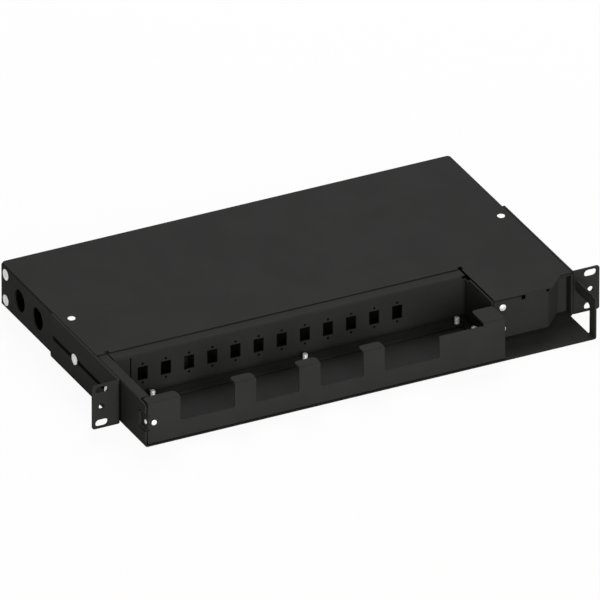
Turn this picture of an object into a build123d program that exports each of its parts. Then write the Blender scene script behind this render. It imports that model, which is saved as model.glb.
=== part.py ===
from build123d import *
from math import asin, cos, sin
import os

# Fibre patch drawer, one rack unit high, for a 19 inch rack.
# A folded sheet enclosure slides in two slotted side brackets. A row of twelve
# adapter ports stands at the back of an open front tray, which a guard with
# fingers closes. The right end is a closed box beside a cable hook.
# Millimetres. X runs along the rack width, Y from the front to the rear and Z up.
# The origin is the centre of the rack-ear slots on the ears' rear face.
# The drawer is shown pulled out, which is its forward stop.

# Rack brackets
RACK_WIDTH = 482.6          # over both ears
EAR_HEIGHT = 41.8
EAR_CORNER_R = 2.0
EAR_SLOT_INSET = 8.75       # from an ear's outer edge
EAR_SLOT_SPACING_Z = 31.75
EAR_SLOT_LENGTH = 12.0
EAR_SLOT_WIDTH = 6.8
EAR_HOLE_D = 5.5
BRACKET_SHEET = 2.0
BRACKET_BEND_R = 0.8        # inside radius
BRACKET_LENGTH = 133.0      # from the ears' front face
SLIDE_SLOT_MARGIN = 4.0     # metal behind the slide slot

# Drawer body
BODY_MARGIN = 26.8          # from an ear's outer edge to the body's side
BODY_DEPTH = 280.7
BODY_HEIGHT = 42.0
PULLED_OUT = 47.3           # drawer front to the ears' front face
SHEET = 1.5
COVER_SHEET = 1.0
BEND_R = 0.5                # inside radius of the folds
FLANGE_NARROW = 10.2        # top flanges beside the open tray
FLANGE_WIDE = 20.0          # top flanges under the cover
FLANGE_RELIEF = 1.5         # notch where the left flange widens
SLIDE_GAP = 0.2             # between the body wall and a bracket
HOLE_GAP = 0.15             # radial room round a fixed screw
THREAD_GAP = 0.1            # radial room where a screw holds in a nut
SLIDE_FIT = 0.1             # running room round the guide screws

# Distances back from the drawer's front
WALL_SETBACK = 0.9
LEFT_FLANGE_START = 13.8
WIDE_FLANGE_START = 97.8
PLATE_SETBACK = 82.8        # front face of the adapter plate
COVER_SETBACK = 95.3        # cover edge over the adapter plate
BOX_SETBACK = 30.8          # front face of the box at the right
BOX_CHAMFER = 16.0
BOX_TURN_LAP = 3.5          # cover corner past the apron's first bend
COVER_INSET = 0.3           # cover edge inside the body's sides
COVER_REAR_R = 3.0
COVER_NOTCH_WIDTH = 4.0     # relief notches at the ends of the edge over the tray
COVER_NOTCH_DEPTH = 3.4
COVER_NOTCH_INSET = 8.6     # left notch from the cover's left edge
COVER_NOTCH_LAP = 1.6       # right notch past the box's cover edge
RIGHT_WALL_START = 45.3
RIGHT_FLANGE_START = 46.0
GUIDE_SETBACK = 68.8        # front guide screw
GUIDE_SPACING = 63.7
GUIDE_DROP = 0.5            # guide screws below the middle

# Left wall notch with its inward lug, and the cable hook at the right
NOTCH_LOW = 14.7
NOTCH_HIGH = 32.2
NOTCH_DEPTH = 12.5
LUG_REACH = 13.0
LUG_RELIEF = 1.2            # notch below the lug
LUG_HEIGHT = 13.7
WALL_CORNER_R = 5.0
HOOK_POST_WIDTH = 10.6
HOOK_BAR_LOW = 29.0
HOOK_TOP = 40.0
HOOK_REACH = 37.3
HOOK_OUTER_R = 8.5
HOOK_INNER_R = 2.5
HOOK_TIP_R = 2.0
FLOOR_EDGE_INSET = 2.5      # floor edge beside the hook

# Cable entries in the side walls
ENTRY_D = 20.5
ENTRY_FROM_REAR = 35.65
ENTRY_SPACING = 35.4

# Adapter plate
PORT_COUNT = 12
PORT_PITCH = 22.0
PORT_FIRST = 38.0           # first port from the body's left side
PORT_WIDTH = 9.6
PORT_HEIGHT = 13.0
PORT_RISE = 0.8             # port centres above the middle
PORT_SCREW_D = 2.3
PORT_SCREW_SPACING = 18.2
PLATE_LEFT_GAP = 1.1        # beside the left top flange
PLATE_SLIT_FROM_LEFT = 27.2
PLATE_SLIT_WIDTH = 1.1
PLATE_TOP_DEPTH = 20.0
PLATE_CORNER_DEPTH = 13.4   # where the wide body flange begins
PLATE_STRIP_GAP = 0.5       # top strip's right end, inside the box side wall's outer face
PLATE_STRIP_END = 12.5      # where the strip narrows under the cover
PLATE_NOTCH_WIDTH = 4.0     # relief at the right end of the top fold
PLATE_NOTCH_DEPTH = 2.5
PLATE_FOOT_DEPTH = 15.1
PLATE_FOOT_EDGE = 3.5       # foot past its last stud
PLATE_RETURN = 7.5
PLATE_RELIEF = 2.6
PLATE_TAB_REACH = 9.0       # end tab under the left top flange

# Studs on the adapter plate's foot
STUD_D = 4.7
STUD_HEIGHT = 7.0
STUD_SETBACK = 73.5
STUD_FIRST = 42.7
STUD_PITCH = 144.9
STUD_COUNT = 3
STUD_CHAMFER = 0.5

# Front guard
GUARD_LEFT_GAP = 2.5
GUARD_RIGHT_GAP = 4.4       # to the outer face of the box side wall
GUARD_FOOT_DEPTH = 22.0
GUARD_SILL = 17.8
GUARD_RETURN_GAP = 0.3      # side tab to the wall's lug
GUARD_TAB_RELIEF = 0.6      # slits above and below the side tab
GUARD_LOW_TOP = 38.7
WINDOW_R = 3.0
LOW_TOP_R = 1.0
FINGER_FLANGE = 11.3
FINGER_END_FLANGE = 24.0
FINGER_TIP_R = 3.5
FINGER_WIDTH = 20.1
FINGER_FIRST_WIDTH = 30.7
FINGER_SECOND = 82.2        # left side of the second finger from the guard's left
FINGER_PITCH = 61.0
FINGER_COUNT = 3            # fingers of the even pitch
LOW_PLATE_START = 276.5
LOW_PLATE_WIDTH = 42.0
RIVET_COUNT = 4
RIVET_D = 3.2
RIVET_HEAD_D = 6.4
RIVET_HEAD_H = 1.1
RIVET_INSET = 40.0
RIVET_SETBACK = 14.0

# Box side wall and apron
BOX_WIDTH = 83.0            # outer face of its side wall to the body's right side
BOX_RETURN = 16.0
BOX_WALL_FRONT_GAP = 2.0
BOX_FOOT = 10.5
BOX_FOOT_START = 37.0
BOX_FOOT_END = 66.0
BOX_EDGE_GAP = 0.9          # cover edge beside the side wall
APRON_OVERHANG = 0.25
APRON_CLEAR = 4.0           # lower edge above the body's bottom
APRON_SLIT = 0.7            # slit under the cover
APRON_TURN = 30.5           # first bend from the body's right side
APRON_RUN = 17.5
APRON_FALL = 18.5
APRON_END = 4.0
APRON_BEND_R = 2.5
APRON_TAB_START = 30.5      # bend to the cover, from the box side wall
APRON_TAB_WIDTH = 20.0
APRON_NOTCH_WIDTH = 3.8
APRON_NOTCH_DEPTH = 3.4
APRON_SHALLOW_NOTCH = 1.5   # right notch, beside the first bend
APRON_FLANGE_GAP = 0.3      # under the body's top flange

# Rear panel
REAR_FLANGE = 15.0
REAR_TOP_FLANGE = 14.0
REAR_SIDE_RELIEF = 1.0

# Fasteners: head diameter, head height and shank diameter
GUIDE_HEAD_D = 10.0
GUIDE_HEAD_H = 1.3
GUIDE_SHANK_D = 4.2
COVER_HEAD_D = 6.8
COVER_HEAD_H = 1.4
COVER_SHANK_D = 4.0
COVER_SCREW_INSET = 9.5
COVER_SCREW_SETBACK = 162.9
APRON_HEAD_D = 6.2
APRON_HEAD_H = 1.9
APRON_SHANK_D = 3.0
APRON_SCREW_INSET = 8.5     # from the box side wall's outer face
APRON_SCREW_RISE = 2.4
APRON_SCREW_SPACING = 20.8
REAR_HEAD_D = 10.2
REAR_HEAD_H = 1.0
REAR_SHANK_D = 4.0
REAR_SCREW_INSET = 8.7
REAR_SCREW_SPACING = 24.8
FACE_HEAD_D = 5.0
FACE_HEAD_H = 1.2
FACE_SHANK_D = 3.0
FACE_SCREW_INSET = 5.7      # from the guard's left edge
FACE_SCREW_RISE = 1.5
FACE_SHANK_LENGTH = 8.0
SIDE_HEAD_D = 4.2
SIDE_HEAD_H = 0.7
SIDE_SHANK_D = 2.5
SIDE_SHANK_LENGTH = 3.0
SIDE_SCREW_SETBACK = 4.5
FLOOR_HEAD_D = 5.2
FLOOR_HEAD_H = 2.2
FLOOR_SHANK_D = 3.0
FLOOR_SCREW_INSET = 3.2     # from the box side wall's left face
FLOOR_SCREW_SETBACK = 58.2
NUT_WALL = 2.2
NUT_HEIGHT = 3.0
CROWN_SHARE = 0.6           # domed part of a head's height
RECESS_DEPTH_SHARE = 0.5    # cross recess, as a share of the head's height
RECESS_SPAN_SHARE = 0.52    # and of its diameter
RECESS_BLADE_SHARE = 0.13
TIP_SHARE = 0.12            # chamfer at a shank's tip, as a share of its diameter

# Corner block between guard and lug
BLOCK_WIDTH = 9.0
BLOCK_HEIGHT = 13.0
BLOCK_CHAMFER = 0.8

# Splice cassette
CASSETTE_LENGTH = 150.0
CASSETTE_WIDTH = 100.0
CASSETTE_HEIGHT = 11.0
CASSETTE_R = 26.0
CASSETTE_WALL = 1.6
CASSETTE_X = -20.0
CASSETTE_FROM_REAR = 92.0
CASSETTE_ENTRY = 12.0
DRUM_R = 25.0
DRUM_OFFSET = 44.0
DRUM_HALF_ANGLE = 75.0
DRUM_TOP_GAP = 2.0
TAB_LENGTH = 9.0
TAB_REACH = 5.0
TAB_SHEET = 1.0
BOSS_D = 13.0
LID_SHEET = 1.2
LID_FINGER_D = 16.0
CASSETTE_STUD_D = 5.0
CASSETTE_NUT_D = 13.0
CASSETTE_NUT_H = 5.0
CASSETTE_NUT_SIDES = 12
STUD_SPARE = 1.5
COMB_LENGTH = 38.0
COMB_WIDTH = 20.0
COMB_BASE = 1.2
COMB_HEIGHT = 6.0
COMB_GROOVES = 6
COMB_RIB = 0.9
COMB_OFFSET = 30.0

# Fibre guides and cable tie bridges on the floor
GUIDE_CLIP_WIDTH = 10.0
GUIDE_CLIP_SPAN = 24.0
GUIDE_CLIP_HEIGHT = 15.0
GUIDE_CLIP_SHEET = 1.8
GUIDE_CLIP_R = 3.0
GUIDE_CLIP_MOUTH = 5.0
GUIDE_CLIP_X = 130.0
GUIDE_CLIP_FRONT = 30.0     # behind the adapter plate
GUIDE_CLIP_REAR = 30.0      # in front of the rear panel
BRIDGE_WIDTH = 8.0
BRIDGE_SPAN = 12.0
BRIDGE_FOOT = 7.0
BRIDGE_HEIGHT = 5.0
BRIDGE_SHEET = 1.0
BRIDGE_INSET = 26.0

# Planes and widths that the pieces share
BODY_WIDTH = RACK_WIDTH - 2 * BODY_MARGIN
EAR_SLOT_SPACING_X = RACK_WIDTH - 2 * EAR_SLOT_INSET
FRONT = -(BRACKET_SHEET + PULLED_OUT)
REAR = FRONT + BODY_DEPTH
BOTTOM = -BODY_HEIGHT / 2
TOP = BODY_HEIGHT / 2
FLOOR = BOTTOM + SHEET
UNDER_COVER = TOP - COVER_SHEET
SIDE = BODY_WIDTH / 2
INSIDE = SIDE - SHEET
FOLD_R = BEND_R + SHEET     # outside radius of the body's folds
BOX_X = SIDE - BOX_WIDTH    # outer face of the box side wall
BOX_LEFT = BOX_X - SHEET
PLATE_Y = FRONT + PLATE_SETBACK
GUARD_LEFT = -SIDE + GUARD_LEFT_GAP
GUARD_RIGHT = BOX_X - GUARD_RIGHT_GAP
GUIDE_YS = [FRONT + GUIDE_SETBACK, FRONT + GUIDE_SETBACK + GUIDE_SPACING]
ENTRY_YS = [REAR - ENTRY_FROM_REAR, REAR - ENTRY_FROM_REAR - ENTRY_SPACING]
BRACKET_IN = SIDE + SLIDE_GAP
BRACKET_OUT = BRACKET_IN + BRACKET_SHEET
BRACKET_REAR = BRACKET_LENGTH - BRACKET_SHEET
LUG_Y = FRONT + WALL_SETBACK + NOTCH_DEPTH - BEND_R - SHEET
LUG_LOW = BOTTOM + NOTCH_LOW + LUG_RELIEF
LUG_HIGH = LUG_LOW + LUG_HEIGHT
RIVET_Y = FRONT + RIVET_SETBACK
CASSETTE_Y = REAR - CASSETTE_FROM_REAR
APRON_SCREW_ZS = [APRON_SCREW_RISE + level * APRON_SCREW_SPACING / 2 for level in (-1, 1)]


def rect(a0, a1, b0, b1):
    """Rectangle between two corners of its plane."""
    return Pos((a0 + a1) / 2, (b0 + b1) / 2) * Rectangle(a1 - a0, b1 - b0)


def upright(face, z0, z1):
    """Plan drawn in X and Y, raised from z0 to z1."""
    return extrude(Plane.XY.offset(z0) * face, z1 - z0)


def across(face, x0, x1):
    """Section drawn in Y and Z, run from x0 to x1."""
    return extrude(Plane.YZ.offset(x0) * face, x1 - x0)


def along(face, y0, y1):
    """Section drawn in X and Z, run from y0 to y1."""
    return extrude(Plane.XZ.offset(-y1) * face, y1 - y0)


def bent(points, sheet=SHEET, inside_r=BEND_R):
    """Section of a folded sheet, from the corners of its middle line."""
    path = FilletPolyline(*points, radius=inside_r + sheet / 2)
    return trace(path, line_width=sheet)


def rod(diameter, start, end):
    """Round bar between two points."""
    start, end = Vector(*start), Vector(*end)
    plane = Plane(origin=start, z_dir=end - start)
    return extrude(plane * Circle(diameter / 2), (end - start).length)


def screw(at, direction, head, shank, recess=True):
    """Round-head screw. Its seat is at the point, and its head looks in the direction."""
    head_d, head_h = head
    shank_d, shank_length = shank
    radius, crown = head_d / 2, head_h * CROWN_SHARE
    sphere = (radius ** 2 + crown ** 2) / (2 * crown)
    half_turn = asin(radius / sphere) / 2
    on_dome = (sphere * sin(half_turn), head_h - sphere + sphere * cos(half_turn))
    rim = (radius, head_h - crown)
    sides = Polyline((0, head_h), (0, 0), (radius, 0), rim)
    outline = make_face(sides + ThreePointArc(rim, on_dome, (0, head_h)))
    body = revolve(Plane.XZ * outline, Axis.Z)
    point = Pos(0, 0, -shank_length / 2) * Cylinder(shank_d / 2, shank_length)
    body += chamfer(point.faces().sort_by(Axis.Z)[0].edges(), shank_d * TIP_SHARE)
    if recess:
        blade = Box(head_d * RECESS_SPAN_SHARE, head_d * RECESS_BLADE_SHARE, 2 * head_h * RECESS_DEPTH_SHARE)
        body -= Pos(0, 0, head_h) * (blade + Rot(0, 0, 90) * blade)
    return Plane(origin=at, z_dir=direction) * body


def nut(at, direction, shank_d):
    """Round press nut that stands on its seat."""
    outer = Circle(shank_d / 2 + NUT_WALL)
    ring = outer - Circle(shank_d / 2 + THREAD_GAP)
    return Plane(origin=at, z_dir=direction) * extrude(ring, NUT_HEIGHT)


def save(shape, name):
    """One node, with each of its solids apart."""
    solids = shape if isinstance(shape, list) else [shape]
    pieces = [solid for item in solids for solid in item.solids()]
    node = pieces[0] if len(pieces) == 1 else Compound(children=pieces)
    export_step(node, f"parts/{name}.step")
    print(name, len(pieces))


# Rack brackets

def bracket(side):
    """Angle of an ear and a slotted side plate, at the right (1) or the left (-1)."""
    plate_x = side * (BRACKET_IN + BRACKET_SHEET / 2)
    ear_y = -BRACKET_SHEET / 2
    corners = [(side * RACK_WIDTH / 2, ear_y), (plate_x, ear_y), (plate_x, BRACKET_REAR)]
    plan = bent(corners, BRACKET_SHEET, BRACKET_BEND_R)
    body = upright(plan, -EAR_HEIGHT / 2, EAR_HEIGHT / 2)
    ends = body.edges().filter_by(Axis.Y).sort_by(Axis.X)
    body = fillet(ends[-2:] if side > 0 else ends[:2], EAR_CORNER_R)
    rear = body.edges().filter_by(Axis.X).sort_by(Axis.Y)[-2:]
    body = fillet(rear, EAR_CORNER_R)
    centre = side * EAR_SLOT_SPACING_X / 2
    holes = Pos(centre, 0) * Circle(EAR_HOLE_D / 2)
    for level in (-1, 1):
        slot = SlotOverall(EAR_SLOT_LENGTH, EAR_SLOT_WIDTH)
        holes += Pos(centre, level * EAR_SLOT_SPACING_Z / 2) * slot
    body -= along(holes, -2 * BRACKET_SHEET, BRACKET_SHEET)
    height = GUIDE_SHANK_D + 2 * SLIDE_FIT
    front = GUIDE_YS[0] - height / 2
    rear = BRACKET_REAR - SLIDE_SLOT_MARGIN
    groove = Pos((front + rear) / 2, -GUIDE_DROP) * SlotOverall(rear - front, height)
    low, high = sorted((side * (BRACKET_IN - SHEET / 2), side * (BRACKET_OUT + SHEET)))
    return body - across(groove, low, high)


def guide_screws(side):
    """Two shouldered screws that carry the body in a bracket's slot."""
    head = (GUIDE_HEAD_D, GUIDE_HEAD_H)
    length = SLIDE_FIT + BRACKET_SHEET + SLIDE_GAP + SHEET + NUT_HEIGHT
    seat = side * (BRACKET_OUT + SLIDE_FIT)
    return [screw((seat, y, -GUIDE_DROP), (side, 0, 0), head, (GUIDE_SHANK_D, length), False)
            for y in GUIDE_YS]


def guide_nuts():
    return [nut((side * INSIDE, y, -GUIDE_DROP), (-side, 0, 0), GUIDE_SHANK_D)
            for side in (-1, 1) for y in GUIDE_YS]


# Body

def wall_holes():
    """Everything drilled through the side walls, as rods along X."""
    reach = SIDE + SHEET
    holes = []
    for y in GUIDE_YS:
        holes.append(rod(GUIDE_SHANK_D + 2 * HOLE_GAP, (-reach, y, -GUIDE_DROP), (reach, y, -GUIDE_DROP)))
    for y in ENTRY_YS:
        holes.append(rod(ENTRY_D, (-reach, y, 0), (reach, y, 0)))
    for z in rear_screw_zs():
        y = REAR - REAR_SCREW_INSET
        holes.append(rod(REAR_SHANK_D + 2 * HOLE_GAP, (-reach, y, z), (reach, y, z)))
    return holes


def rear_screw_zs():
    middle = (FLOOR + UNDER_COVER - SHEET) / 2 + SHEET / 4
    return [middle - REAR_SCREW_SPACING / 2, middle + REAR_SCREW_SPACING / 2]


def cover_screw_spots():
    y = FRONT + COVER_SCREW_SETBACK
    return [(side * (SIDE - COVER_SCREW_INSET), y) for side in (-1, 1)]


def body_fold():
    """Floor, side walls and inward top flanges, folded from one sheet."""
    low = BOTTOM + SHEET / 2
    high = UNDER_COVER - SHEET / 2
    wall = SIDE - SHEET / 2
    lip = SIDE - FLANGE_WIDE
    corners = [(-lip, high), (-wall, high), (-wall, low), (wall, low), (wall, high), (lip, high)]
    return along(bent(corners), FRONT, REAR)


def left_wall_front():
    """Flat front of the left wall, ahead of its top flange."""
    outline = rect(FRONT, FRONT + LEFT_FLANGE_START, FLOOR + FOLD_R, UNDER_COVER)
    corner = outline.vertices().group_by(Axis.X)[0].sort_by(Axis.Y)[-1]
    return across(fillet(corner, WALL_CORNER_R), -SIDE, -INSIDE)


def left_lug():
    """Lug bent inwards from the notch in the left wall."""
    x = -SIDE + SHEET / 2
    y = LUG_Y + SHEET / 2
    corners = [(x, y + LUG_REACH), (x, y), (x + LUG_REACH, y)]
    return upright(bent(corners), LUG_LOW, LUG_HIGH)


def cable_hook():
    """Upper part of the cable hook, a flat bar in the plane of the right wall."""
    end = FRONT + HOOK_REACH
    post = FRONT + HOOK_POST_WIDTH
    low, bar, high = FLOOR + FOLD_R, BOTTOM + HOOK_BAR_LOW, BOTTOM + HOOK_TOP
    outline = rect(FRONT, end, low, high) - rect(post, end, low, bar)
    corners = outline.vertices()
    outer = corners.group_by(Axis.X)[0].sort_by(Axis.Y)[-1]
    outline = fillet(outer, HOOK_OUTER_R)
    inner = [v for v in outline.vertices() if abs(v.X - post) < 0.01 and abs(v.Y - bar) < 0.01]
    outline = fillet(inner, HOOK_INNER_R)
    outline = fillet(outline.vertices().group_by(Axis.X)[-1], HOOK_TIP_R)
    return across(outline, INSIDE, SIDE)


def right_wall_front():
    """Flat front of the right wall, ahead of its top flange."""
    outline = rect(FRONT + RIGHT_WALL_START, FRONT + RIGHT_FLANGE_START, FLOOR + FOLD_R, UNDER_COVER)
    return across(outline, INSIDE, SIDE)


def block(x0, x1, y0, y1, z0, z1):
    """Space to cut away, between two corners."""
    return upright(rect(x0, x1, y0, y1), z0, z1)


def base_shell():
    shell = body_fold()
    flange_low = UNDER_COVER - FOLD_R
    ahead = FRONT - SHEET
    left_start = FRONT + LEFT_FLANGE_START
    wide_start = FRONT + WIDE_FLANGE_START
    right_start = FRONT + RIGHT_WALL_START
    shell -= block(-SIDE, 0, ahead, left_start, flange_low, TOP)
    shell -= block(-SIDE + FLANGE_NARROW, 0, ahead, wide_start, flange_low, TOP)
    relief = -SIDE + FLANGE_NARROW - FLANGE_RELIEF
    shell -= block(relief, 0, wide_start - 2 * FLANGE_RELIEF, wide_start, flange_low, TOP)
    shell -= block(0, SIDE, ahead, FRONT + RIGHT_FLANGE_START, flange_low, TOP)
    post = FRONT + HOOK_POST_WIDTH
    shell -= block(SIDE - FLOOR_EDGE_INSET, SIDE, post, right_start, BOTTOM, TOP)
    shell += left_wall_front() + cable_hook() + right_wall_front()
    shell -= block(-SIDE, -INSIDE, ahead, FRONT + WALL_SETBACK, FLOOR + FOLD_R, TOP)
    notch_rear = FRONT + WALL_SETBACK + NOTCH_DEPTH
    shell -= block(-SIDE, -INSIDE, ahead, notch_rear, BOTTOM + NOTCH_LOW, BOTTOM + NOTCH_HIGH)
    shell += left_lug()
    for hole in wall_holes():
        shell -= hole
    for x, y in cover_screw_spots():
        shell -= rod(COVER_SHANK_D + 2 * HOLE_GAP, (x, y, flange_low), (x, y, TOP))
    for x in rivet_xs():
        shell -= rod(RIVET_D + 2 * HOLE_GAP, (x, RIVET_Y, BOTTOM - SHEET), (x, RIVET_Y, FLOOR + SHEET))
    x, y = floor_screw_spot()
    shell -= rod(FLOOR_SHANK_D + 2 * HOLE_GAP, (x, y, BOTTOM - SHEET), (x, y, FLOOR + SHEET))
    return shell


# Cover

def cover_plan():
    """Cover outline, with the tray cut out at its left front and a relief notch at each end of that edge."""
    left, right = -SIDE + COVER_INSET, SIDE - COVER_INSET
    tray = FRONT + COVER_SETBACK
    box = FRONT + BOX_SETBACK
    edge = BOX_X + BOX_EDGE_GAP
    turn = SIDE - APRON_TURN + BOX_TURN_LAP
    outline = Polyline(
        (left, tray), (edge, tray), (edge, box), (turn, box), (turn + BOX_CHAMFER, box + BOX_CHAMFER),
        (right, box + BOX_CHAMFER), (right, REAR), (left, REAR), close=True)
    plan = make_face(outline)
    plan = fillet(plan.vertices().group_by(Axis.Y)[-1], COVER_REAR_R)
    notch = left + COVER_NOTCH_INSET
    plan -= rect(notch, notch + COVER_NOTCH_WIDTH, tray - SHEET, tray + COVER_NOTCH_DEPTH)
    notch = edge + COVER_NOTCH_LAP
    return plan - rect(notch - COVER_NOTCH_WIDTH, notch, tray - COVER_NOTCH_LAP, tray + COVER_NOTCH_DEPTH)


def apron():
    """Front of the box: a sheet folded twice in plan, hanging from the cover."""
    y = FRONT + BOX_SETBACK + COVER_SHEET / 2
    turn = SIDE - APRON_TURN
    corners = [(BOX_X + APRON_OVERHANG, y), (turn, y), (turn + APRON_RUN, y + APRON_FALL),
               (SIDE - APRON_END, y + APRON_FALL)]
    plan = bent(corners, COVER_SHEET, APRON_BEND_R)
    top = UNDER_COVER - APRON_SLIT
    sheet = upright(plan, BOTTOM + APRON_CLEAR, top)
    tab = BOX_X + APRON_TAB_START
    end = tab + APRON_TAB_WIDTH
    ahead, behind = y - COVER_SHEET, y + APRON_NOTCH_WIDTH
    sheet -= block(tab - APRON_NOTCH_WIDTH, tab, ahead, behind, top - APRON_NOTCH_DEPTH, UNDER_COVER)
    sheet -= block(end, end + APRON_NOTCH_WIDTH, ahead, behind, top - APRON_SHALLOW_NOTCH, UNDER_COVER)
    under_flange = UNDER_COVER - SHEET - APRON_FLANGE_GAP
    return sheet - block(SIDE - FLANGE_WIDE - SHEET, SIDE, FRONT + RIGHT_FLANGE_START - SHEET, REAR,
                         under_flange, UNDER_COVER)


def cover():
    plate = upright(cover_plan(), UNDER_COVER, TOP)
    front = FRONT + BOX_SETBACK
    tab = BOX_X + APRON_TAB_START
    fold = 2 * (BEND_R + COVER_SHEET)
    plate -= block(tab, tab + APRON_TAB_WIDTH, front - SHEET, front + fold, BOTTOM, TOP + SHEET)
    mid_y, mid_z = front + COVER_SHEET / 2, TOP - COVER_SHEET / 2
    corners = [(mid_y, UNDER_COVER - 2 * fold), (mid_y, mid_z), (front + fold, mid_z)]
    plate += across(bent(corners, COVER_SHEET), tab, tab + APRON_TAB_WIDTH)
    plate += apron()
    for x, y in cover_screw_spots():
        plate -= rod(COVER_SHANK_D + 2 * HOLE_GAP, (x, y, UNDER_COVER - SHEET), (x, y, TOP + SHEET))
    x = BOX_X + APRON_SCREW_INSET
    for z in APRON_SCREW_ZS:
        plate -= rod(APRON_SHANK_D + 2 * HOLE_GAP, (x, front - SHEET, z), (x, front + 2 * SHEET, z))
    return plate


def cover_screws():
    length = COVER_SHEET + SHEET + NUT_HEIGHT
    return [screw((x, y, TOP), (0, 0, 1), (COVER_HEAD_D, COVER_HEAD_H), (COVER_SHANK_D, length))
            for x, y in cover_screw_spots()]


def cover_nuts():
    return [nut((x, y, UNDER_COVER - SHEET), (0, 0, -1), COVER_SHANK_D) for x, y in cover_screw_spots()]


# Box side wall

def box_side_wall():
    """Left side of the box, with a foot on the floor and a return behind the apron."""
    front = FRONT + BOX_SETBACK + COVER_SHEET
    end = PLATE_Y - PLATE_RETURN
    wall_x = BOX_X - SHEET / 2
    low, high = FLOOR + FOLD_R, UNDER_COVER
    plan = bent([(wall_x, end), (wall_x, front + SHEET / 2), (BOX_X + BOX_RETURN, front + SHEET / 2)])
    wall = upright(plan, low, high)
    foot = bent([(wall_x - BOX_FOOT, FLOOR + SHEET / 2), (wall_x, FLOOR + SHEET / 2), (wall_x, low + SHEET)])
    wall += along(foot, FRONT + BOX_FOOT_START, FRONT + BOX_FOOT_END)
    lower = block(BOX_LEFT, BOX_X, FRONT + BOX_FOOT_END, end, FLOOR, low)
    wall += lower + block(BOX_LEFT, BOX_X, front + FOLD_R, FRONT + BOX_FOOT_START, FLOOR, low)
    x = BOX_X + APRON_SCREW_INSET
    for z in APRON_SCREW_ZS:
        wall -= rod(APRON_SHANK_D + 2 * HOLE_GAP, (x, front - SHEET, z), (x, front + 2 * SHEET, z))
    x, y = floor_screw_spot()
    wall -= rod(FLOOR_SHANK_D + 2 * HOLE_GAP, (x, y, BOTTOM), (x, y, FLOOR + 2 * SHEET))
    return wall


def apron_screws():
    x, seat = BOX_X + APRON_SCREW_INSET, FRONT + BOX_SETBACK
    length = COVER_SHEET + SHEET + NUT_HEIGHT
    head, shank = (APRON_HEAD_D, APRON_HEAD_H), (APRON_SHANK_D, length)
    return [screw((x, seat, z), (0, -1, 0), head, shank) for z in APRON_SCREW_ZS]


def apron_nuts():
    x, seat = BOX_X + APRON_SCREW_INSET, FRONT + BOX_SETBACK + COVER_SHEET + SHEET
    return [nut((x, seat, z), (0, 1, 0), APRON_SHANK_D) for z in APRON_SCREW_ZS]


def floor_screw_spot():
    return BOX_X - FLOOR_SCREW_INSET - SHEET, FRONT + FLOOR_SCREW_SETBACK


def floor_screw():
    x, y = floor_screw_spot()
    head = (FLOOR_HEAD_D, FLOOR_HEAD_H)
    return screw((x, y, FLOOR + SHEET), (0, 0, 1), head, (FLOOR_SHANK_D, 2 * SHEET))


# Adapter plate

def port_xs():
    return [-SIDE + PORT_FIRST + i * PORT_PITCH for i in range(PORT_COUNT)]


def port_holes():
    """Square adapter cut-outs, each with a screw hole above and below."""
    holes = Sketch()
    for x in port_xs():
        holes += Pos(x, PORT_RISE) * Rectangle(PORT_WIDTH, PORT_HEIGHT)
        for level in (-1, 1):
            holes += Pos(x, PORT_RISE + level * PORT_SCREW_SPACING / 2) * Circle(PORT_SCREW_D / 2)
    return holes


def stud_xs():
    return [-SIDE + STUD_FIRST + i * STUD_PITCH for i in range(STUD_COUNT)]


def adapter_plate():
    """Z-shaped plate: foot to the front, port face, and top flange to the rear."""
    left = -SIDE + FLANGE_NARROW + PLATE_LEFT_GAP
    mid_y = PLATE_Y + SHEET / 2
    low, high = FLOOR + SHEET / 2, UNDER_COVER - SHEET / 2
    top_end = PLATE_Y + PLATE_TOP_DEPTH
    upper = bent([(mid_y, low + FOLD_R), (mid_y, high), (top_end, high)])
    lower = bent([(PLATE_Y - PLATE_FOOT_DEPTH, low), (mid_y, low), (mid_y, high - FOLD_R)])
    plate = across(upper, left, BOX_X - FOLD_R)
    behind = PLATE_Y + PLATE_NOTCH_DEPTH
    plate -= block(BOX_X - PLATE_NOTCH_WIDTH, BOX_X, PLATE_Y - SHEET, behind, UNDER_COVER - PLATE_RELIEF, TOP)
    plate += block(BOX_X - 2 * FOLD_R, BOX_X - PLATE_STRIP_GAP, behind, PLATE_Y + PLATE_STRIP_END,
                   UNDER_COVER - SHEET, UNDER_COVER)
    slit = -SIDE + PLATE_SLIT_FROM_LEFT
    plate += across(lower, slit, stud_xs()[-1] + PLATE_FOOT_EDGE)
    return_end = PLATE_Y - PLATE_RETURN
    side_x = BOX_X - SHEET / 2
    plan = bent([(left - PLATE_TAB_REACH, mid_y), (side_x, mid_y), (side_x, return_end)])
    plate += upright(plan, FLOOR + PLATE_RELIEF, UNDER_COVER - PLATE_RELIEF)
    plate -= block(left - FLANGE_NARROW, -SIDE + FLANGE_WIDE + PLATE_LEFT_GAP,
                   PLATE_Y + PLATE_CORNER_DEPTH, top_end + SHEET, high - SHEET, TOP)
    plate -= block(slit - PLATE_SLIT_WIDTH, slit, PLATE_Y - SHEET, PLATE_Y + 2 * SHEET,
                   BOTTOM, UNDER_COVER - FOLD_R)
    plate -= along(port_holes(), PLATE_Y - SHEET, PLATE_Y + 2 * SHEET)
    for x in stud_xs():
        y = FRONT + STUD_SETBACK
        plate -= rod(STUD_D + 2 * HOLE_GAP, (x, y, BOTTOM), (x, y, FLOOR + 2 * SHEET))
    return plate


def plate_studs():
    """Plain studs on the floor that hold the adapter plate's foot."""
    studs = []
    for x in stud_xs():
        y = FRONT + STUD_SETBACK
        stud = rod(STUD_D, (x, y, FLOOR), (x, y, FLOOR + STUD_HEIGHT))
        studs.append(chamfer(stud.faces().sort_by(Axis.Z)[-1].edges(), STUD_CHAMFER))
    return studs


# Front guard

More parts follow.
